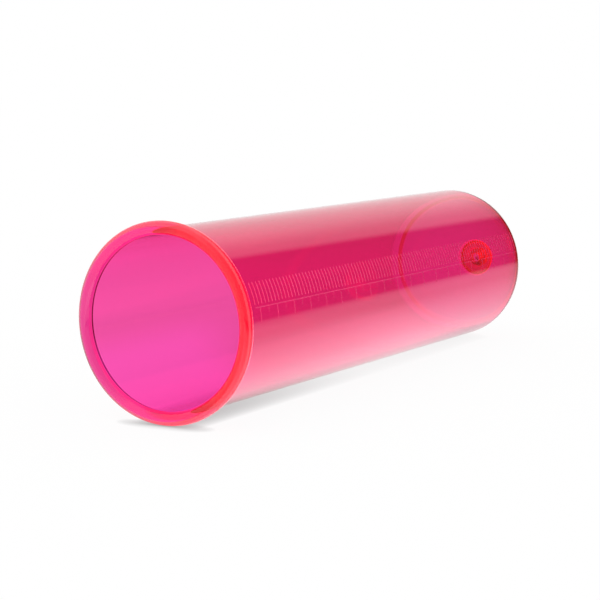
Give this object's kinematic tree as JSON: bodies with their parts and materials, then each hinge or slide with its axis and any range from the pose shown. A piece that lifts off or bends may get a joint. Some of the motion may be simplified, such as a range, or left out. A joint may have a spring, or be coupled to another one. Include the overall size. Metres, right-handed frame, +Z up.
{
  "type": "vacuum cylinder",
  "caption": "Clear pink acrylic vacuum cylinder with a round rim at its open mouth, an engraved scale and a domed end with a hose nozzle.",
  "frame": {"origin": "on the resting surface, under the middle of the overall length, with the rim touching Z = 0", "axes": "+Y along the cylinder's axis from the open mouth to the nozzle, +X to the side that carries the scale, +Z up"},
  "size_m": [0.0618, 0.2372, 0.0617],
  "materials": {
    "pink_acrylic": "polished clear fluorescent pink acrylic, tinted through"
  },
  "bodies": {
    "root": {"rim_bead": "pink_acrylic", "cylinder_tube": "pink_acrylic", "end_dome": "pink_acrylic", "hose_nozzle": "pink_acrylic"}
  },
  "joints": []
}
